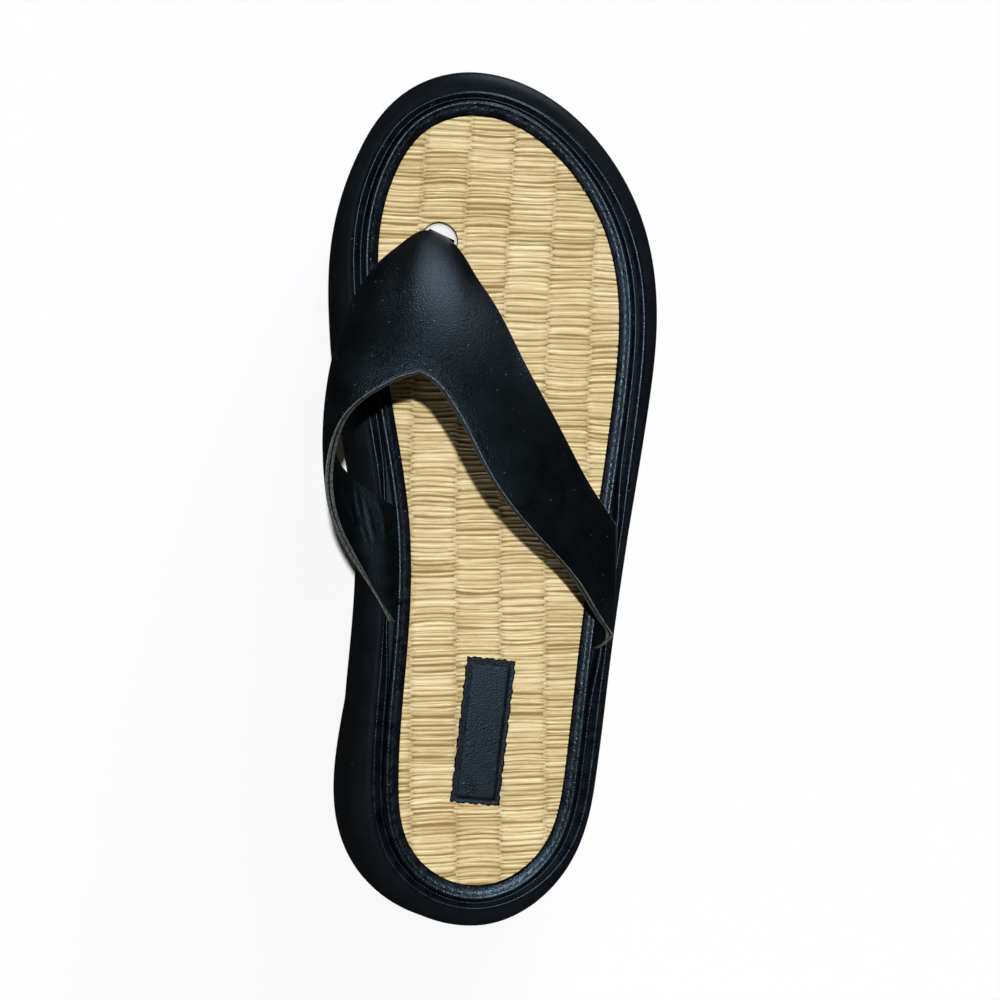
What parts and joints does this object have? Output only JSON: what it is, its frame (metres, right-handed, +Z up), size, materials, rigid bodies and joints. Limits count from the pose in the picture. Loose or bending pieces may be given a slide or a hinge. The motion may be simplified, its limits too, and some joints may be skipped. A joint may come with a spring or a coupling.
{
  "type": "platform sandal",
  "caption": "Platform thong sandal for the right foot: thick black sole, woven straw footbed with a padded leather binding, wide V strap of black hide with a toe post.",
  "frame": {"origin": "middle of the sandal's footprint box, on the floor", "axes": "+Y towards the toe, +X towards the outer side of the right foot, +Z up"},
  "size_m": [0.1105, 0.2687, 0.0786],
  "materials": {
    "black_sole": "satin, smooth",
    "black_binding": "satin, fine grain",
    "straw": "woven rush, dull with a slight sheen",
    "black_hide": "satin, fine grain, raw cut edges",
    "pale_post": "satin",
    "patch_hide": "satin, fine grain"
  },
  "bodies": {
    "root": {"platform_sole": "black_sole", "footbed_binding": "black_binding", "straw_insole": "straw", "thong_strap": "black_hide", "toe_post": "pale_post", "heel_patch": "patch_hide"}
  },
  "joints": []
}
